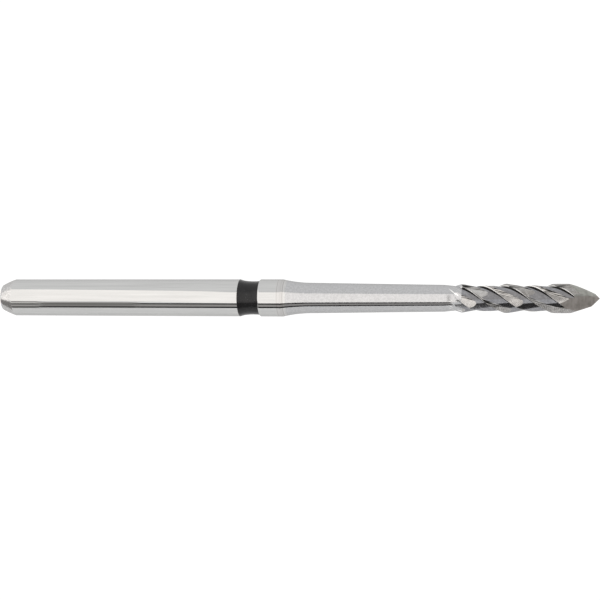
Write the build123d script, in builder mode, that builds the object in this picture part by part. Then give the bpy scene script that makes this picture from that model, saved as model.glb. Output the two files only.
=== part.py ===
"""Carbide bone-cutting burr with a friction-grip shank.

The tool lies along +X with its tip at +X. The origin is the centre of the shank's flat end.
Angles round the axis run from -Y towards -Z, so a helix whose angle grows with X is right-handed.
All lengths are in millimetres and all angles in degrees.
"""
import os
from math import cos, radians, sin, tan

from build123d import *

# Shank
SHANK_D = 1.60              # friction-grip size
SHANK_END_D = 1.11          # flat of the shank's end
SHANK_BEVEL = 0.57          # length of the bevel behind that flat
BEVEL_BULGE = 0.015         # of the bevel's slightly convex side
SHANK_LENGTH = 12.63        # from the flat to the foot of the fillet
JOINT_SETBACK = 0.22        # from the foot of the fillet to the butt joint with the carbide

# Colour band in its groove
COLLAR_LENGTH = 0.973       # plain shank between the groove and the foot of the fillet
GROOVE_WIDTH = 0.905
GROOVE_DEPTH = 0.10         # in the middle of the hollow floor
NEAR_WALL_RUN = 0.15        # wall on the side of the shank's end, along the axis
NEAR_WALL_HEIGHT = 0.065
FAR_WALL_RUN = 0.05         # wall on the side of the neck, along the axis
FAR_WALL_HEIGHT = 0.085
LACQUER = 0.018             # thickness on the floor, feathered out up the near wall

# Neck
NECK_START_D = 1.305        # where the fillet runs out
NECK_END_D = 1.13           # where the run-in starts
FILLET_LENGTH = 1.185
NECK_LENGTH = 5.72          # from the end of the fillet to the run-in
RUN_IN_LENGTH = 0.42        # the neck narrows over this length, just behind the head
RUN_IN_D = 1.045
CORE_TAPER = 0.06           # the neck's end shrinks by this radius inside the head

# Head
HEAD_D = 1.218
HEAD_LENGTH = 6.06          # from the start of the head to the tip
HEAD_LAP = 0.06             # the head starts this far back inside the run-in
START_SINK = 0.04           # and this far below the run-in's skin
START_BEVEL = 0.40          # length over which the head grows to its full diameter
POINT_LENGTH = 1.20         # from the shoulder to the tip
CONE_ANGLE = 18.0           # half angle of the cone behind the facets
FACETS = ((31.0, 19.8), (155.0, 28.9), (-65.0, 25.4))   # direction faced, slope against the axis

# Blades: a ratchet section on a slow right-hand helix
BLADES = 6
BLADE_LEAD = 12.80
BLADE_PHASE = 22.9          # direction of the first edge where the head starts
FLUTE_DEPTH = 0.105
RELIEF_SPAN = 37.0          # from an edge back to its valley
RELIEF_RISE = 0.34          # share of the flute's depth already regained half way up the relief
EDGE_LAND = 0.012           # height ground off the sharp edges by the cylinder

# Cross cuts: sawtooth grooves on a fast right-hand helix
CUTS = 4
CUT_PITCH = 0.997           # from one groove to the next along the axis
CUT_DEPTH = 0.158
CUT_WALL = 0.157            # run of the steep wall along the axis
CUT_LAND = 0.025            # crest left between two grooves
CUT_PHASE = -9.2            # direction of the first groove where the head starts
CUT_TURNS = (413.9, 455.9)  # travel of alternate grooves round the axis

OVERRUN = 0.10              # how far a cutting shape reaches past what it cuts
HELIX_START = -90.0         # direction in which build123d starts a helix along X

shank_r = SHANK_D / 2
joint_x = SHANK_LENGTH + JOINT_SETBACK
groove_x = SHANK_LENGTH - COLLAR_LENGTH - GROOVE_WIDTH
groove_end_x = groove_x + GROOVE_WIDTH
neck_x = SHANK_LENGTH + FILLET_LENGTH
run_in_x = neck_x + NECK_LENGTH
neck_end_x = run_in_x + RUN_IN_LENGTH
head_x = neck_end_x - HEAD_LAP
tip_x = head_x + HEAD_LENGTH
shoulder_x = tip_x - POINT_LENGTH
head_r = HEAD_D / 2

near_rim = (groove_x, shank_r)
near_foot = (groove_x + NEAR_WALL_RUN, shank_r - NEAR_WALL_HEIGHT)
floor_middle = (
    (groove_x + NEAR_WALL_RUN + groove_end_x - FAR_WALL_RUN) / 2,
    shank_r - GROOVE_DEPTH,
)
far_foot = (groove_end_x - FAR_WALL_RUN, shank_r - FAR_WALL_HEIGHT)
far_rim = (groove_end_x, shank_r)


def around(angle, radius=1.0):
    """The Y and Z of the point at this angle and radius."""
    return (-radius * cos(radians(angle)), -radius * sin(radians(angle)))


# Half section of all that is turned: shank, fillet, neck and run-in
with BuildSketch(Plane.XZ) as turned:
    with BuildLine():
        Polyline((head_x + START_BEVEL, 0), (0, 0), (0, SHANK_END_D / 2))
        ThreePointArc(
            (0, SHANK_END_D / 2),
            (SHANK_BEVEL / 2, (SHANK_END_D / 2 + shank_r) / 2 + BEVEL_BULGE),
            (SHANK_BEVEL, shank_r),
        )
        Line((SHANK_BEVEL, shank_r), (SHANK_LENGTH, shank_r))
        TangentArc(
            (neck_x, NECK_START_D / 2),
            (SHANK_LENGTH, shank_r),
            tangent=(-NECK_LENGTH, (NECK_START_D - NECK_END_D) / 2),
        )
        Polyline(
            (neck_x, NECK_START_D / 2),
            (run_in_x, NECK_END_D / 2),
            (neck_end_x, RUN_IN_D / 2),
            (head_x + START_BEVEL, RUN_IN_D / 2 - CORE_TAPER),
            (head_x + START_BEVEL, 0),
        )
    make_face()

# Shank: stainless steel with a bevelled end and the groove for the colour band
with BuildPart() as shank:
    add(turned.sketch)
    revolve(axis=Axis.X)
    split(bisect_by=Plane.YZ.offset(joint_x), keep=Keep.BOTTOM)
    with BuildSketch(Plane.XZ):
        with BuildLine():
            Line(near_rim, near_foot)
            ThreePointArc(near_foot, floor_middle, far_foot)
            Polyline(
                far_foot,
                far_rim,
                (groove_end_x, shank_r + OVERRUN),
                (groove_x, shank_r + OVERRUN),
                near_rim,
            )
        make_face()
    revolve(axis=Axis.X, mode=Mode.SUBTRACT)
shank.part.label = "shank"

# Colour band: lacquer on the near wall and the floor of the groove; the far wall is bare steel
with BuildPart() as colour_band:
    film_end = (far_foot[0] + FAR_WALL_RUN * LACQUER / FAR_WALL_HEIGHT, far_foot[1] + LACQUER)
    film_middle = (floor_middle[0], floor_middle[1] + LACQUER)
    film_start = (near_foot[0], near_foot[1] + LACQUER)
    with BuildSketch(Plane.XZ):
        with BuildLine():
            Line(near_rim, near_foot)
            ThreePointArc(near_foot, floor_middle, far_foot)
            Line(far_foot, film_end)
            ThreePointArc(film_end, film_middle, film_start)
            Line(film_start, near_rim)
        make_face()
    revolve(axis=Axis.X)
colour_band.part.label = "colour_band"

# Carbide cutter: neck and head in one piece
with BuildPart() as carbide_cutter:
    # Fluted bar: the ratchet section carried along the slow helix
    bar_x = head_x - OVERRUN
    bar_end_x = tip_x + 2 * OVERRUN
    first_edge = BLADE_PHASE - 360 * OVERRUN / BLADE_LEAD
    edge_r = head_r + EDGE_LAND
    valley_r = head_r - FLUTE_DEPTH
    middle_r = valley_r + RELIEF_RISE * (edge_r - valley_r)
    with BuildLine():
        Helix(BLADE_LEAD, bar_end_x - bar_x, valley_r, center=(bar_x, 0, 0), direction=(1, 0, 0))
    with BuildSketch(Plane.YZ.offset(bar_x)):
        with BuildLine():
            for blade in range(BLADES):
                edge = first_edge + 360 / BLADES * blade
                next_valley = edge + 360 / BLADES - RELIEF_SPAN
                ThreePointArc(
                    around(edge - RELIEF_SPAN, valley_r),
                    around(edge - RELIEF_SPAN / 2, middle_r),
                    around(edge, edge_r),
                )
                Line(around(edge, edge_r), around(next_valley, valley_r))
        make_face()
    sweep(is_frenet=True)

    # Outer form: bevelled start, cylinder and cone
    with BuildSketch(Plane.XZ):
        with BuildLine():
            Polyline(
                (head_x, 0),
                (head_x, RUN_IN_D / 2 - START_SINK),
                (head_x + START_BEVEL, head_r),
                (shoulder_x, head_r),
                (tip_x + OVERRUN, head_r - (POINT_LENGTH + OVERRUN) * tan(radians(CONE_ANGLE))),
                (tip_x + OVERRUN, 0),
                close=True,
            )
        make_face()
    revolve(axis=Axis.X, mode=Mode.INTERSECT)

    # Cross cuts: a sawtooth in a plane through the axis, carried along the fast helix
    cut_lead = CUTS * CUT_PITCH
    floor_r = head_r - CUT_DEPTH
    outer_r = head_r + OVERRUN
    wall_run = CUT_WALL * (outer_r - floor_r) / CUT_DEPTH
    ramp_run = CUT_PITCH - CUT_WALL - CUT_LAND
    for cut in range(CUTS):
        start = CUT_PHASE - 360 / CUTS * cut
        travel = cut_lead * CUT_TURNS[cut % len(CUT_TURNS)] / 360
        outward = Vector(0, *around(start))
        with BuildLine(mode=Mode.PRIVATE) as cut_path:
            Helix(cut_lead, travel, floor_r, center=(head_x, 0, 0), direction=(1, 0, 0))
        with BuildSketch(Plane((head_x, 0, 0), x_dir=(1, 0, 0), z_dir=Axis.X.direction.cross(outward))):
            with BuildLine():
                Polyline(
                    (0, floor_r),
                    (wall_run, outer_r),
                    (-ramp_run, outer_r),
                    (-ramp_run, head_r),
                    close=True,
                )
            make_face()
        sweep(
            path=cut_path.line.rotate(Axis.X, start - HELIX_START),
            is_frenet=True,
            mode=Mode.SUBTRACT,
        )

    # Point: flat facets that meet on the axis
    for facing, slope in FACETS:
        normal = (sin(radians(slope)), *around(facing, cos(radians(slope))))
        split(bisect_by=Plane((tip_x, 0, 0), z_dir=normal), keep=Keep.BOTTOM)

    # Neck and fillet, joined to the head
    add(turned.sketch)
    revolve(axis=Axis.X)
    split(bisect_by=Plane.YZ.offset(joint_x), keep=Keep.TOP)
carbide_cutter.part.label = "carbide_cutter"

os.makedirs("parts", exist_ok=True)
export_step(shank.part, "parts/shank.step")
export_step(colour_band.part, "parts/colour_band.step")
export_step(carbide_cutter.part, "parts/carbide_cutter.step")
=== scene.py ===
"""Looks of a carbide bone-cutting burr on a friction-grip shank.

The tool lies along +X with its tip at +X. Lengths here are millimetres, turned to metres when a piece is
finished. Angles round the axis run from -Y, the side that faces the camera, towards -Z.
"""
from math import atan2, cos, degrees, pi, radians, sin, sqrt, tan

import bmesh
import bpy
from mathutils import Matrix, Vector


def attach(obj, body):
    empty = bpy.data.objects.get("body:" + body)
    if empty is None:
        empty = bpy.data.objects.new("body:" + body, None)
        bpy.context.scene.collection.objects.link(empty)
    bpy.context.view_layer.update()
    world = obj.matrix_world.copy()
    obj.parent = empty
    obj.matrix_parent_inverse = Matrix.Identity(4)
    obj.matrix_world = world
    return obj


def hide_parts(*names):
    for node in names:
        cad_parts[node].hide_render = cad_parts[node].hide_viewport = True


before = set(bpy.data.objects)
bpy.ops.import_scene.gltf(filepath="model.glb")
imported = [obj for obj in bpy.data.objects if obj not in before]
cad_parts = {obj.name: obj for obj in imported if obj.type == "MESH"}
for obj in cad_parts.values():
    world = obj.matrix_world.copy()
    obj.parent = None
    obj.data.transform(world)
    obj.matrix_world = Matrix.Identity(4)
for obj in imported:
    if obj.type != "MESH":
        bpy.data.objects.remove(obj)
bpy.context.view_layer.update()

MM = 0.001
AXIS = Vector((1, 0, 0))
TURN_STEPS = 192            # sides of a turned piece
MERGE_REACH = 0.0001        # the seam of a turned piece is welded within this
SLICE_REACH = 0.00001       # a corner this near to a slicing plane lies on it
SHARP_ANGLE = 25.0          # degrees between two faces from which their edge stays sharp

# Shank and its groove
SHANK_R = 0.80
SHANK_END_R = 0.555
SHANK_BEVEL = 0.57
BEVEL_BULGE = 0.015
SHANK_LENGTH = 12.63        # to the foot of the fillet
JOINT_SETBACK = 0.22
COLLAR_LENGTH = 0.973
GROOVE_WIDTH = 0.905
GROOVE_DEPTH = 0.10
NEAR_WALL = (0.15, 0.065)   # run and height
FAR_WALL = (0.05, 0.085)
LACQUER = 0.018
EDGE_ROUND = 0.02           # rounding of the turned edges
ROUND_STEPS = 4
BEVEL_STEPS = 6
GROOVE_STEPS = 10
HOLD = 0.06                 # from a corner to the ring that keeps the long side next to it straight

# Neck
NECK_START_R = 0.6525
NECK_END_R = 0.565
FILLET_LENGTH = 1.185
NECK_LENGTH = 5.72
RUN_IN_LENGTH = 0.42
RUN_IN_R = 0.5225
CORE_TAPER = 0.06
FILLET_STEPS = (3, 12)      # on the steel and on the carbide

# Head
HEAD_R = 0.609
HEAD_LENGTH = 6.06
HEAD_LAP = 0.06
START_SINK = 0.04
START_BEVEL = 0.40
POINT_LENGTH = 1.20
CONE_ANGLE = 18.0
FACETS = ((31.0, 19.8), (155.0, 28.9), (-65.0, 25.4))   # direction faced, slope
BLADES = 6
BLADE_LEAD = 12.80
BLADE_PHASE = 22.9
FLUTE_DEPTH = 0.105
RELIEF_SPAN = 37.0
RELIEF_RISE = 0.34
RELIEF_STEPS = 8
EDGE_LAND = 0.012
CUTS = 4
CUT_PITCH = 0.997
CUT_DEPTH = 0.158
CUT_WALL = 0.157
CUT_LAND = 0.025
CUT_PHASE = -9.2
CUT_TURNS = (413.9, 455.9)
WALL_LEAN = 0.3             # X of the normal from which a side of a cross cut is its wall
OVERRUN = 0.10
BLADE_STEP = 2.0            # degrees of turn between two sections of the blades
CUT_STEP = 3.0              # and of a cross cut

joint_x = SHANK_LENGTH + JOINT_SETBACK
groove_x = SHANK_LENGTH - COLLAR_LENGTH - GROOVE_WIDTH
groove_end_x = groove_x + GROOVE_WIDTH
neck_x = SHANK_LENGTH + FILLET_LENGTH
run_in_x = neck_x + NECK_LENGTH
neck_end_x = run_in_x + RUN_IN_LENGTH
head_x = neck_end_x - HEAD_LAP
tip_x = head_x + HEAD_LENGTH
shoulder_x = tip_x - POINT_LENGTH
run_out_x = head_x + START_BEVEL    # up to here the head is ground smooth

METAL_EDGE_TINT = "#D0D0D0"
LAMP_COLOUR = "#FFFCF9"


# ---- materials ----

def linear(hex_colour):
    """sRGB hex to linear RGBA."""
    channels = [int(hex_colour[i:i + 2], 16) / 255 for i in (1, 3, 5)]
    return [c / 12.92 if c <= 0.04045 else ((c + 0.055) / 1.055) ** 2.4 for c in channels] + [1.0]


def node(tree, kind, inputs=None, **settings):
    """Adds a node; an input is a value, a socket, or a node, whose output in use is then taken."""
    made = tree.nodes.new(kind)
    for name, value in settings.items():
        setattr(made, name, value)
    for name, value in (inputs or {}).items():
        if isinstance(value, bpy.types.Node):
            value = next(socket for socket in value.outputs if socket.enabled)
        if isinstance(value, bpy.types.NodeSocket):
            tree.links.new(value, made.inputs[name])
        else:
            made.inputs[name].default_value = value
    return made


def new_material(name):
    material = bpy.data.materials.new(name)
    material.use_nodes = True
    material.node_tree.nodes.clear()
    return material, material.node_tree


def object_place(tree):
    """Object coordinates, and their X, Y and Z."""
    place = node(tree, "ShaderNodeTexCoord").outputs["Object"]
    return place, node(tree, "ShaderNodeSeparateXYZ", {0: place}).outputs


def untwisted(tree, place, x, lead, stretch):
    """Object coordinates turned back along a right-hand screw and drawn out along it."""
    turn = node(tree, "ShaderNodeMath", {0: x, 1: -2 * pi / (lead * MM)}, operation="MULTIPLY")
    straight = node(tree, "ShaderNodeVectorRotate", {"Vector": place, "Angle": turn}, rotation_type="X_AXIS")
    return node(tree, "ShaderNodeVectorMath", {0: straight, 1: (stretch, 1.0, 1.0)}, operation="MULTIPLY")


def within(tree, value, low, high, soft):
    """1 where a measure lies between two in millimetres, fading to 0 over a soft run outside them."""
    rise = node(tree, "ShaderNodeMapRange", {0: value, 1: MM * (low - soft), 2: MM * low})
    fall = node(tree, "ShaderNodeMapRange", {0: value, 1: MM * high, 2: MM * (high + soft), 3: 1.0, 4: 0.0})
    return node(tree, "ShaderNodeMath", {0: rise, 1: fall}, operation="MULTIPLY")


def toned(tree, share, low, high, dark, light):
    """A colour between two, by how far share lies between low and high."""
    ramp = node(tree, "ShaderNodeMapRange", {0: share, 1: low, 2: high})
    return node(tree, "ShaderNodeMix", {0: ramp, 6: linear(dark), 7: linear(light)}, data_type="RGBA")


def polished_stainless():
    """Polished stainless steel: faint waves, drawn out along it, bend what it reflects, and fine turning
    marks dull it a little next to the joint. The bevel is only ground, so it is mottled and blurs what it
    reflects. The marks are drawn coarser than the real ones, so that they show."""
    material, tree = new_material("polished_stainless")
    place, split = object_place(tree)
    drawn = node(tree, "ShaderNodeVectorMath", {0: place, 1: (0.04, 1.0, 1.0)}, operation="MULTIPLY")
    waves = node(tree, "ShaderNodeTexNoise", {"Vector": drawn, "Scale": 1 / (0.11 * MM), "Detail": 3.0})
    marks = node(tree, "ShaderNodeTexNoise", {
        "W": split["X"], "Scale": 1 / (0.05 * MM), "Detail": 2.0}, noise_dimensions="1D")
    near_joint = within(tree, split["X"], SHANK_LENGTH - 0.13, SHANK_LENGTH + 0.11, 0.11)
    turning = node(tree, "ShaderNodeMath", {0: marks, 1: near_joint}, operation="MULTIPLY")
    height = node(tree, "ShaderNodeMath", {0: turning, 1: 0.3, 2: waves}, operation="MULTIPLY_ADD")
    bright = toned(tree, waves, 0.3, 0.7, "#BFBFBE", "#C8C8C7")
    dulled = toned(tree, marks, 0.35, 0.6, "#B0AEAC", "#C6C5C4")
    turned_steel = node(tree, "ShaderNodeMix", {0: near_joint, 6: bright, 7: dulled}, data_type="RGBA")
    mottle = node(tree, "ShaderNodeTexNoise", {"Vector": place, "Scale": 1 / (0.08 * MM), "Detail": 3.0})
    ground = toned(tree, mottle, 0.3, 0.65, "#B4B3B2", "#CECDCC")
    bevel = within(tree, split["X"], 0.0, SHANK_BEVEL - 0.02, 0.04)
    colour = node(tree, "ShaderNodeMix", {0: bevel, 6: turned_steel, 7: ground}, data_type="RGBA")
    roughness = node(tree, "ShaderNodeMapRange", {0: bevel, 3: 0.06, 4: 0.20})
    bump = node(tree, "ShaderNodeBump", {"Height": height, "Strength": 0.12, "Distance": MM * 0.002})
    surface = node(tree, "ShaderNodeBsdfPrincipled", {
        "Base Color": colour, "Metallic": 1.0, "Roughness": roughness,
        "Specular Tint": linear(METAL_EDGE_TINT), "Normal": bump})
    node(tree, "ShaderNodeOutputMaterial", {"Surface": surface})
    return material


def black_lacquer():
    """Satin black lacquer, with the faint ripple of a brushed-on film."""
    material, tree = new_material("black_lacquer")
    place, _ = object_place(tree)
    ripple = node(tree, "ShaderNodeTexNoise", {"Vector": place, "Scale": 1 / (0.20 * MM), "Detail": 3.0})
    colour = toned(tree, ripple, 0.35, 0.65, "#101011", "#1A1A1B")
    bump = node(tree, "ShaderNodeBump", {"Height": ripple, "Strength": 0.25, "Distance": MM * 0.01})
    surface = node(tree, "ShaderNodeBsdfPrincipled", {
        "Base Color": colour, "Roughness": 0.25, "Specular IOR Level": 0.33, "Normal": bump})
    node(tree, "ShaderNodeOutputMaterial", {"Surface": surface})
    return material


def carbide_surface(tree, colour, roughness, height, strength, metallic=1.0):
    """Bare carbide in this colour, with a fine relief."""
    bump = node(tree, "ShaderNodeBump", {"Height": height, "Strength": strength, "Distance": MM * 0.004})
    surface = node(tree, "ShaderNodeBsdfPrincipled", {
        "Base Color": colour, "Metallic": metallic, "Roughness": roughness,
        "Specular Tint": linear(METAL_EDGE_TINT), "Normal": bump})
    node(tree, "ShaderNodeOutputMaterial", {"Surface": surface})


def carbide_neck():
    """Neck: cylindrically ground carbide, faintly mottled by the grain of the wheel and lightly ringed;
    the cross cuts' wheel left marks where it ran out at the start of the head, drawn as near-white strokes
    that are a painted highlight."""
    material, tree = new_material("carbide_neck")
    place, split = object_place(tree)
    grain = node(tree, "ShaderNodeTexNoise", {"Vector": place, "Scale": 1 / (0.083 * MM), "Detail": 4.0})
    rings = node(tree, "ShaderNodeTexNoise", {
        "W": split["X"], "Scale": 1 / (0.09 * MM), "Detail": 2.0}, noise_dimensions="1D")
    mixed = node(tree, "ShaderNodeMath", {0: rings, 1: 0.35, 2: grain}, operation="MULTIPLY_ADD")
    ground = toned(tree, grain, 0.3, 0.7, "#B1B1B2", "#BEBEBF")
    along = untwisted(tree, place, split["X"], CUTS * CUT_PITCH, 0.06)
    highlight_strokes = node(tree, "ShaderNodeTexNoise", {"Vector": along, "Scale": 1 / (0.11 * MM), "Detail": 0.0})
    drawn = node(tree, "ShaderNodeMapRange", {0: highlight_strokes, 1: 0.60, 2: 0.65})
    run_out = within(tree, split["X"], run_in_x + 0.35, tip_x, 0.15)
    share = node(tree, "ShaderNodeMath", {0: drawn, 1: run_out}, operation="MULTIPLY")
    # Painted highlight: near-white strokes along the cross cuts' run, where the wheel ran out.
    colour = node(tree, "ShaderNodeMix", {0: share, 6: ground, 7: linear("#F4F3F1")}, data_type="RGBA")
    carbide_surface(tree, colour, 0.09, mixed, 0.22)
    return material


def carbide_relief():
    """Tops of the teeth, ground by the wheel, whose fine marks cross them in arcs; the first ones get a
    lighter copy of the colour, a painted highlight. The marks are drawn coarser than the real ones, so that
    they show."""
    material, tree = new_material("carbide_relief")
    place, split = object_place(tree)
    arcs = node(tree, "ShaderNodeTexWave", {
        "Vector": place, "Scale": 1 / (0.14 * MM), "Distortion": 6.0, "Detail": 3.0, "Detail Scale": 2.0},
        wave_type="BANDS", bands_direction="DIAGONAL").outputs["Fac"]
    grain = node(tree, "ShaderNodeTexNoise", {"Vector": place, "Scale": 1 / (0.12 * MM), "Detail": 3.0})
    mixed = node(tree, "ShaderNodeMath", {0: arcs, 1: 0.35, 2: grain}, operation="MULTIPLY_ADD")
    plain_teeth = toned(tree, mixed, 0.4, 0.95, "#888684", "#B8B6B4")
    # Painted highlight: the first teeth get a lighter copy of the teeth's colour.
    first_teeth_highlight = toned(tree, mixed, 0.4, 0.95, "#A8A6A4", "#C8C6C4")
    first = within(tree, split["X"], head_x, head_x + 1.3, 0.3)
    colour = node(tree, "ShaderNodeMix", {0: first, 6: plain_teeth, 7: first_teeth_highlight}, data_type="RGBA")
    carbide_surface(tree, colour, 0.22, mixed, 0.45)
    return material


def carbide_flute():
    """Narrow valleys behind the blades: streaks along the run of the wheel on the screw, painted from near
    black to near white, are painted shade and painted highlights.
    """
    material, tree = new_material("carbide_flute")
    place, split = object_place(tree)
    along = untwisted(tree, place, split["X"], BLADE_LEAD, 0.06)
    shade_and_highlight_streaks = node(tree, "ShaderNodeTexNoise", {"Vector": along, "Scale": 1 / (0.042 * MM), "Detail": 1.0})
    # Painted shade and painted highlights: the streaks go from near black to near white.
    colour = toned(tree, shade_and_highlight_streaks, 0.43, 0.58, "#0A0908", "#BEBCB9")
    carbide_surface(tree, colour, 0.3, shade_and_highlight_streaks, 0.8)
    return material


def carbide_ramp():
    """Long sides of the cross cuts: cool grey and finely frosted, with marks that follow the cut."""
    material, tree = new_material("carbide_ramp")
    place, split = object_place(tree)
    along = untwisted(tree, place, split["X"], CUTS * CUT_PITCH, 0.25)
    marks = node(tree, "ShaderNodeTexNoise", {"Vector": along, "Scale": 1 / (0.11 * MM), "Detail": 3.0})
    grain = node(tree, "ShaderNodeTexNoise", {"Vector": place, "Scale": 1 / (0.083 * MM), "Detail": 3.0})
    mixed = node(tree, "ShaderNodeMath", {0: marks, 1: 0.7, 2: grain}, operation="MULTIPLY_ADD")
    colour = toned(tree, mixed, 0.6, 1.1, "#838386", "#9E9EA1")
    carbide_surface(tree, colour, 0.12, mixed, 0.4)
    return material


def carbide_wall():
    """Short walls of the cross cuts: a near-white line across them is a painted highlight, and near black at
    the foot is painted shade.
    """
    material, tree = new_material("carbide_wall")
    place, split = object_place(tree)
    across = node(tree, "ShaderNodeCombineXYZ", {1: split["Y"], 2: split["Z"]})
    radius = node(tree, "ShaderNodeVectorMath", {0: across}, operation="LENGTH")
    # Painted highlight: a near-white line between these two radii; painted shade: near black below it.
    line_foot, line_top = HEAD_R - 0.60 * CUT_DEPTH, HEAD_R - 0.46 * CUT_DEPTH
    line = within(tree, radius, line_foot, line_top, 0.01)
    above = within(tree, radius, line_top, HEAD_R + OVERRUN, 0.01)
    grain = node(tree, "ShaderNodeTexNoise", {"Vector": place, "Scale": 1 / (0.125 * MM), "Detail": 2.0})
    rim = toned(tree, grain, 0.3, 0.6, "#E6E4E2", "#FAF9F7")
    shaded_foot_and_upper_wall = node(tree, "ShaderNodeMix", {
        0: above, 6: linear("#161514"), 7: linear("#9C9A98")}, data_type="RGBA")
    colour = node(tree, "ShaderNodeMix", {0: line, 6: shaded_foot_and_upper_wall, 7: rim}, data_type="RGBA")
    carbide_surface(tree, colour, 0.5, grain, 0.3, 0.5)
    return material


def carbide_point():
    """Facets of the point: warm grey, dulled and slightly stained by the heat of grinding; the upper one
    is paler."""
    material, tree = new_material("carbide_point")
    place, split = object_place(tree)
    drawn = node(tree, "ShaderNodeVectorMath", {0: place, 1: (1.0, 0.25, 0.25)}, operation="MULTIPLY")
    lines = node(tree, "ShaderNodeTexNoise", {"Vector": drawn, "Scale": 1 / (0.09 * MM), "Detail": 3.0})
    stains = node(tree, "ShaderNodeTexNoise", {"Vector": place, "Scale": 1 / (0.30 * MM), "Detail": 3.0})
    mixed = node(tree, "ShaderNodeMath", {0: lines, 1: 0.6, 2: stains}, operation="MULTIPLY_ADD")
    warm = toned(tree, mixed, 0.6, 1.0, "#837E79", "#A39D98")
    pale = toned(tree, mixed, 0.6, 1.0, "#8E8E88", "#ABABA5")
    upper = within(tree, split["Z"], 0.12, HEAD_R, 0.04)
    colour = node(tree, "ShaderNodeMix", {0: upper, 6: warm, 7: pale}, data_type="RGBA")
    carbide_surface(tree, colour, 0.35, mixed, 0.5)
    return material


steel = polished_stainless()
lacquer = black_lacquer()
NECK, RELIEF, FLUTE, RAMP, WALL, POINT = range(6)
carbide = [carbide_neck(), carbide_relief(), carbide_flute(), carbide_ramp(), carbide_wall(), carbide_point()]


# ---- solids ----

def around(angle, radius=1.0):
    """The Y and Z of the point at this angle and radius."""
    return (-radius * cos(radians(angle)), -radius * sin(radians(angle)))


def turned(outline, rounded=(), closed=False):
    """A bmesh turned about X from (x, radius) points; the points numbered in rounded get a small radius."""
    bm = bmesh.new()
    points = [bm.verts.new((x, *around(0, radius))) for x, radius in outline]
    pairs = list(zip(points, points[1:]))
    if closed:
        pairs.append((points[-1], points[0]))
    for pair in pairs:
        bm.edges.new(pair)
    corners = [points[i] for i in rounded]
    if corners:
        bmesh.ops.bevel(
            bm, geom=corners, offset=EDGE_ROUND, segments=ROUND_STEPS, profile=0.5, affect="VERTICES",
            material=-1)
    bmesh.ops.spin(
        bm, geom=bm.verts[:] + bm.edges[:], axis=AXIS, cent=(0, 0, 0), angle=2 * pi, steps=TURN_STEPS,
        use_merge=True)
    bmesh.ops.remove_doubles(bm, verts=bm.verts, dist=MERGE_REACH)
    bmesh.ops.recalc_face_normals(bm, faces=bm.faces)
    return bm


def screwed(section, turn, rise, steps):
    """A bmesh swept from a flat section along a right-hand screw about X."""
    bm = bmesh.new()
    face = bm.faces.new([bm.verts.new(point) for point in section])
    bmesh.ops.spin(
        bm, geom=[face], axis=AXIS, cent=(0, 0, 0), angle=radians(turn), dvec=(rise / steps, 0, 0),
        steps=steps)
    bmesh.ops.recalc_face_normals(bm, faces=bm.faces)
    return bm


def solid(bm, name, index=0, paint=None):
    """A temporary object from a bmesh, for joining and cutting."""
    for face in bm.faces:
        face.material_index = paint(face) if paint else index
    mesh = bpy.data.meshes.new(name)
    bm.to_mesh(mesh)
    bm.free()
    for material in carbide:
        mesh.materials.append(material)
    made = bpy.data.objects.new(name, mesh)
    bpy.context.scene.collection.objects.link(made)
    return made


def combine(base, other, operation):
    """Cuts or joins other to base, and removes it."""
    change = base.modifiers.new(operation, "BOOLEAN")
    change.object = other
    change.operation = operation
    change.solver = "EXACT"
    change.material_mode = "INDEX"
    graph = bpy.context.evaluated_depsgraph_get()
    mesh = bpy.data.meshes.new_from_object(base.evaluated_get(graph))
    base.modifiers.clear()
    old = base.data
    base.data = mesh
    bpy.data.meshes.remove(old)
    spent = other.data
    bpy.data.objects.remove(other)
    bpy.data.meshes.remove(spent)
    return base


def piece(name, bm, materials, node_name):
    """Finishes a piece: metres, smooth shading with sharp edges, its body, and hides its CAD node."""
    bmesh.ops.scale(bm, vec=(MM, MM, MM), verts=bm.verts)
    for edge in bm.edges:
        kinds = {face.material_index for face in edge.link_faces}
        edge.smooth = len(kinds) == 1 and edge.calc_face_angle(0) < radians(SHARP_ANGLE)
    for face in bm.faces:
        face.smooth = True
    mesh = bpy.data.meshes.new(name)
    bm.to_mesh(mesh)
    bm.free()
    for material in materials:
        mesh.materials.append(material)
    made = bpy.data.objects.new(name, mesh)
    bpy.context.scene.collection.objects.link(made)
    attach(made, "root")
    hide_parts(node_name)


def fillet_radius(x):
    """Radius of the fillet's arc, which leaves the neck's line smoothly and ends at the shank."""
    back = Vector((SHANK_LENGTH - neck_x, SHANK_R - NECK_START_R))
    up = Vector((NECK_START_R - NECK_END_R, NECK_LENGTH))
    up.normalize()
    arc = back.length_squared / (2 * back.dot(up))
    centre = Vector((neck_x, NECK_START_R)) + arc * up
    return centre.y - sqrt(arc ** 2 - (x - centre.x) ** 2)


def neck_radius(x):
    return NECK_START_R + (NECK_END_R - NECK_START_R) * (x - neck_x) / NECK_LENGTH


def steps_between(low, high, count):
    return [low + (high - low) * i / count for i in range(count + 1)]


def bow(low, middle, high, count):
    """Points of a shallow arc through three points."""
    points = []
    for t in steps_between(0, 1, count):
        x = low[0] + (high[0] - low[0]) * t
        chord = low[1] + (high[1] - low[1]) * t
        rise = middle[1] - (low[1] + high[1]) / 2
        points.append((x, chord + rise * 4 * t * (1 - t)))
    return points


near_rim = (groove_x, SHANK_R)
near_foot = (groove_x + NEAR_WALL[0], SHANK_R - NEAR_WALL[1])
far_foot = (groove_end_x - FAR_WALL[0], SHANK_R - FAR_WALL[1])
far_rim = (groove_end_x, SHANK_R)
floor_middle = ((near_foot[0] + far_foot[0]) / 2, SHANK_R - GROOVE_DEPTH)


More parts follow.
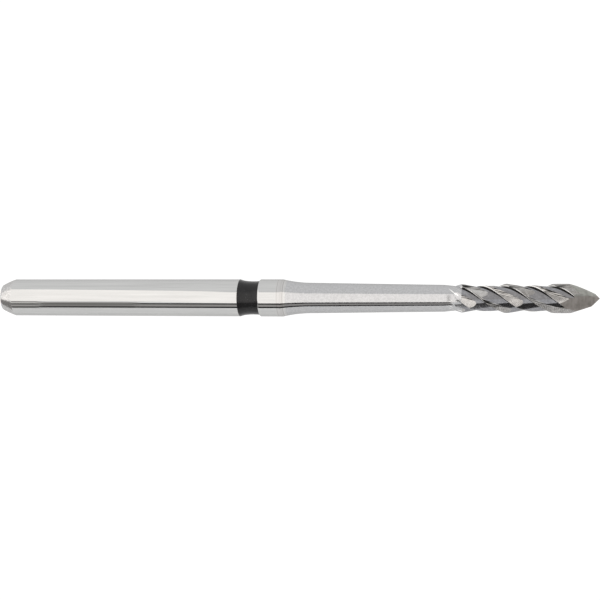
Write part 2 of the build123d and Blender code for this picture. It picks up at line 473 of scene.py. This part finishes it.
def make_shank():
    fillet = [(x, fillet_radius(x)) for x in steps_between(SHANK_LENGTH, joint_x, FILLET_STEPS[0])]
    outline = [
        (0, 0), *bow((0, SHANK_END_R), (SHANK_BEVEL / 2, (SHANK_END_R + SHANK_R) / 2 + BEVEL_BULGE),
                     (SHANK_BEVEL, SHANK_R), BEVEL_STEPS), (SHANK_BEVEL + HOLD, SHANK_R),
        (groove_x - HOLD, SHANK_R), near_rim, *bow(near_foot, floor_middle, far_foot, GROOVE_STEPS), far_rim,
        (groove_end_x + HOLD, SHANK_R), (SHANK_LENGTH - HOLD, SHANK_R), *fillet, (joint_x, 0),
    ]
    corners = ((0, SHANK_END_R), (SHANK_BEVEL, SHANK_R), near_rim, far_rim)
    rounded = [outline.index(corner) for corner in corners]
    piece("shank_steel", turned(outline, rounded=rounded), [steel], "shank")


def make_band():
    raised = [(x, r + LACQUER) for x, r in (far_foot, floor_middle, near_foot)]
    film_end = (far_foot[0] + FAR_WALL[0] * LACQUER / FAR_WALL[1], far_foot[1] + LACQUER)
    outline = [
        near_rim, *bow(near_foot, floor_middle, far_foot, GROOVE_STEPS),
        *bow(film_end, raised[1], raised[2], GROOVE_STEPS),
    ]
    piece("band_lacquer", turned(outline, closed=True), [lacquer], "colour_band")


def blade_section(x, phase):
    """The ratchet section of the blades in the plane at x."""
    edge_r, valley_r = HEAD_R + EDGE_LAND, HEAD_R - FLUTE_DEPTH
    section = []
    for blade in range(BLADES):
        edge = phase + 360 / BLADES * blade
        for t in steps_between(0, 1, RELIEF_STEPS):
            share = t * (4 * RELIEF_RISE - 1) + t * t * (2 - 4 * RELIEF_RISE)
            radius = valley_r + (edge_r - valley_r) * share
            section.append((x, *around(edge - RELIEF_SPAN * (1 - t), radius)))
    return section


def blade_paint(face):
    """Relief behind an edge, or the valley in front of the next one."""
    middle = face.calc_center_median()
    turned_by = degrees(atan2(-middle.z, -middle.y))
    behind = (BLADE_PHASE + 360 * (middle.x - head_x) / BLADE_LEAD - turned_by) % (360 / BLADES)
    return RELIEF if behind < RELIEF_SPAN else FLUTE


def cut_paint(face):
    """The short wall of a cross cut, or its long side."""
    return WALL if face.normal.x > WALL_LEAN else RAMP


def make_cutter():
    bar_x = head_x - OVERRUN
    bar_length = tip_x + 2 * OVERRUN - bar_x
    bar_turn = 360 * bar_length / BLADE_LEAD
    section = blade_section(bar_x, BLADE_PHASE - 360 * OVERRUN / BLADE_LEAD)
    bar = screwed(section, bar_turn, bar_length, round(bar_turn / BLADE_STEP))
    head = solid(bar, "head", paint=blade_paint)

    envelope = turned([
        (head_x, 0), (head_x, RUN_IN_R - START_SINK), (run_out_x, HEAD_R), (shoulder_x, HEAD_R),
        (tip_x + OVERRUN, HEAD_R - (POINT_LENGTH + OVERRUN) * tan(radians(CONE_ANGLE))), (tip_x + OVERRUN, 0),
    ])
    combine(head, solid(envelope, "envelope", RELIEF), "INTERSECT")

    floor_r, outer_r = HEAD_R - CUT_DEPTH, HEAD_R + OVERRUN
    wall_run = CUT_WALL * (outer_r - floor_r) / CUT_DEPTH
    ramp_run = CUT_PITCH - CUT_WALL - CUT_LAND
    for cut in range(CUTS):
        start = CUT_PHASE - 360 / CUTS * cut
        turn = CUT_TURNS[cut % len(CUT_TURNS)]
        profile = [(-ramp_run, HEAD_R), (0, floor_r), (wall_run, outer_r), (-ramp_run, outer_r)]
        section = [(head_x + x, *around(start, r)) for x, r in profile]
        groove = screwed(section, turn, CUTS * CUT_PITCH * turn / 360, round(turn / CUT_STEP))
        combine(head, solid(groove, "groove", paint=cut_paint), "DIFFERENCE")

    bm = bmesh.new()
    bm.from_mesh(head.data)
    for facing, slope in FACETS:
        normal = (sin(radians(slope)), *around(facing, cos(radians(slope))))
        sliced = bmesh.ops.bisect_plane(
            bm, geom=bm.verts[:] + bm.edges[:] + bm.faces[:], dist=SLICE_REACH,
            plane_co=(tip_x, 0, 0), plane_no=normal, clear_outer=True)
        rim = [e for e in sliced["geom_cut"] if isinstance(e, bmesh.types.BMEdge)]
        flat = bmesh.ops.contextual_create(bm, geom=rim, mat_nr=POINT)
        for face in flat["faces"]:
            face.material_index = POINT
    bmesh.ops.bisect_plane(
        bm, geom=bm.verts[:] + bm.edges[:] + bm.faces[:], dist=SLICE_REACH,
        plane_co=(run_out_x, 0, 0), plane_no=AXIS)
    for face in bm.faces:
        if face.calc_center_median().x < run_out_x:
            face.material_index = NECK
    bmesh.ops.recalc_face_normals(bm, faces=bm.faces)
    bm.to_mesh(head.data)
    bm.free()

    fillet = [(x, fillet_radius(x)) for x in steps_between(joint_x, neck_x, FILLET_STEPS[1])]
    neck = turned([
        (joint_x, 0), *fillet, (neck_x + HOLD, neck_radius(neck_x + HOLD)),
        (run_in_x - HOLD, neck_radius(run_in_x - HOLD)), (run_in_x, NECK_END_R), (neck_end_x, RUN_IN_R),
        (run_out_x, RUN_IN_R - CORE_TAPER), (run_out_x, 0),
    ])
    cutter = combine(solid(neck, "neck", NECK), head, "UNION")
    bm = bmesh.new()
    bm.from_mesh(cutter.data)
    bpy.data.objects.remove(cutter)
    piece("cutter_carbide", bm, carbide, "carbide_cutter")


make_shank()
make_band()
make_cutter()


# ---- studio ----

CAMERA_PLACE = (26.06, -65.344, -0.087)
CAMERA_TURN = 11.0
CAMERA_ROLL = -0.137
CAMERA_LENS = 93.36
FLOOR_DROP = 110.0
FLOOR_BACK = 150.0          # where the floor starts to rise
BACKDROP_FOOT = (250.0, 55.0)       # Y and Z where the slope meets the upright backdrop
SWEEP_ROUND = 60.0
SWEEP_STEPS = 12
STAGE_HALF = 400.0
PAPER_GLOW = 1.12
PAPER_SHARE = 0.8           # of the paper's own glow in what the eye sees
WORLD_LIGHT = (0.6, 1.0)    # on matt things, and to the eye
SOFTBOX_DISTANCE = 140.0
SOFTBOX_GLOW = 1.56
SOFTBOX_CORNERS = (         # X and Z, round from the lower corner on the side of the shank's end
    (-900, -250), (-330, -100), (-90, -60), (-40, -61), (-30, -92), (22, -93), (30, -150), (57, -150),
    (57, 108), (20, 104), (0, 96), (-24, 95), (-31, 96), (-38, 121), (-51, 141), (-56, 149), (-67, 162),
    (-80, 176), (-330, 330), (-900, 480),
)
CARDS = (                   # name, strength, distance, ends along X, upper and lower elevation
    ("bevel_lower", 0.30, 38, -160, -18, -36, -98),
    ("left_rim", 0.42, 38, -18, -12, -23.5, -31),
    ("left_gap", 0.95, 38, -18, -12, -31, -36),
    ("left_upper", 0.26, 38, -18, -12, -36, -49),
    ("left_middle", 0.60, 38, -18, -12, -49, -56),
    ("left_lower", 0.20, 38, -18, -12, -56, -70.5),
    ("inner_rim", 0.50, 38, -12, -5, -28, -36),
    ("inner_upper", 0.22, 38, -12, -5, -36, -45),
    ("inner_middle", 0.37, 38, -12, -5, -45, -55),
    ("inner_lower", 0.08, 38, -12, -5, -55, -67),
    ("right_upper", 0.00, 38, -5, 25, -34, -42),
    ("right_middle", 0.45, 38, -5, 25, -42, -57),
    ("right_lower", 0.00, 38, -5, 25, -57, -66),
    ("head_lower", 0.07, 100, 42, 80, -21, -76),
    ("run_in", 0.92, 12, 20.55, 21.15, 32, -28),
    ("head_upper", 0.85, 12, 22.4, 31, 100, 16),
)


def seen_by_eye(tree):
    """1 for camera, glossy and transmission rays, 0 for other light."""
    path = node(tree, "ShaderNodeLightPath").outputs
    seen = node(tree, "ShaderNodeMath", {
        0: path["Is Camera Ray"], 1: path["Is Glossy Ray"]}, operation="MAXIMUM")
    return node(tree, "ShaderNodeMath", {0: seen, 1: path["Is Transmission Ray"]}, operation="MAXIMUM")


def studio_white():
    """White paper: plainly white to the eye and to shiny metal, matt to other light, so it takes a shadow."""
    material, tree = new_material("studio_white")
    share = node(tree, "ShaderNodeMath", {0: seen_by_eye(tree), 1: PAPER_SHARE}, operation="MULTIPLY")
    glow = node(tree, "ShaderNodeEmission", {"Color": linear("#FFFFFF"), "Strength": PAPER_GLOW})
    matt = node(tree, "ShaderNodeBsdfDiffuse", {"Color": linear("#FFFFFF")})
    both = node(tree, "ShaderNodeMixShader", {0: share, 1: matt, 2: glow})
    node(tree, "ShaderNodeOutputMaterial", {"Surface": both})
    return material


def plain_glow(name, colour, strength):
    material, tree = new_material(name)
    glow = node(tree, "ShaderNodeEmission", {"Color": linear(colour), "Strength": strength})
    node(tree, "ShaderNodeOutputMaterial", {"Surface": glow})
    return material


def stage_mesh(name, bm, material):
    bmesh.ops.scale(bm, vec=(MM, MM, MM), verts=bm.verts)
    for face in bm.faces:
        face.smooth = True
    mesh = bpy.data.meshes.new(name)
    bm.to_mesh(mesh)
    bm.free()
    mesh.materials.append(material)
    made = bpy.data.objects.new(name, mesh)
    bpy.context.scene.collection.objects.link(made)
    return made


def make_floor():
    """Floor and backdrop in one sweep."""
    bm = bmesh.new()
    line = [
        (-STAGE_HALF, -FLOOR_DROP), (FLOOR_BACK, -FLOOR_DROP), BACKDROP_FOOT, (BACKDROP_FOOT[0], STAGE_HALF)]
    points = [bm.verts.new((-STAGE_HALF, y, z)) for y, z in line]
    for pair in zip(points, points[1:]):
        bm.edges.new(pair)
    bmesh.ops.bevel(
        bm, geom=points[1:3], offset=SWEEP_ROUND, segments=SWEEP_STEPS, profile=0.5, affect="VERTICES",
        material=-1)
    made = bmesh.ops.extrude_edge_only(bm, edges=bm.edges[:])
    bmesh.ops.translate(
        bm, vec=(2 * STAGE_HALF, 0, 0), verts=[v for v in made["geom"] if isinstance(v, bmesh.types.BMVert)])
    stage_mesh("floor", bm, studio_white())


def mirrored_only(made):
    """Only shiny metal sees this card; it neither lights nor shades anything else."""
    made.visible_camera = False
    made.visible_diffuse = False
    made.visible_shadow = False
    made.visible_transmission = False


def card(name, strength, distance, left, right, high, low):
    """A narrow card near the tool, bounded along X and by two elevations seen from the axis."""
    bm = bmesh.new()
    corners = [(left, high), (right, high), (right, low), (left, low)]
    bm.faces.new([bm.verts.new((x, *around(-elevation, distance))) for x, elevation in corners])
    mirrored_only(stage_mesh(name, bm, plain_glow(name, LAMP_COLOUR, strength)))


def make_softbox():
    """A big lamp behind the camera; its upper edge rises towards the shank's end."""
    bm = bmesh.new()
    bm.faces.new([bm.verts.new((x, -SOFTBOX_DISTANCE, z)) for x, z in SOFTBOX_CORNERS])
    made = stage_mesh("softbox", bm, plain_glow("softbox", LAMP_COLOUR, SOFTBOX_GLOW))
    made.visible_camera = False


def make_world():
    world = bpy.data.worlds.new("studio")
    world.use_nodes = True
    bpy.context.scene.world = world
    tree = world.node_tree
    tree.nodes.clear()
    strength = node(tree, "ShaderNodeMapRange", {
        0: seen_by_eye(tree), 3: WORLD_LIGHT[0], 4: WORLD_LIGHT[1]})
    sky = node(tree, "ShaderNodeBackground", {"Color": linear("#FFFFFF"), "Strength": strength})
    node(tree, "ShaderNodeOutputWorld", {"Surface": sky})


def make_camera():
    lens = bpy.data.cameras.new("camera")
    lens.lens = CAMERA_LENS
    lens.clip_start = 0.001
    lens.clip_end = 10
    camera = bpy.data.objects.new("camera", lens)
    camera.location = Vector(CAMERA_PLACE) * MM
    camera.rotation_euler = (radians(90), radians(CAMERA_ROLL), radians(CAMERA_TURN))
    bpy.context.scene.collection.objects.link(camera)
    bpy.context.scene.camera = camera


make_floor()
make_softbox()
for name, *measures in CARDS:
    card(name, *measures)
make_world()
make_camera()

bpy.context.scene.view_settings.view_transform = "Standard"
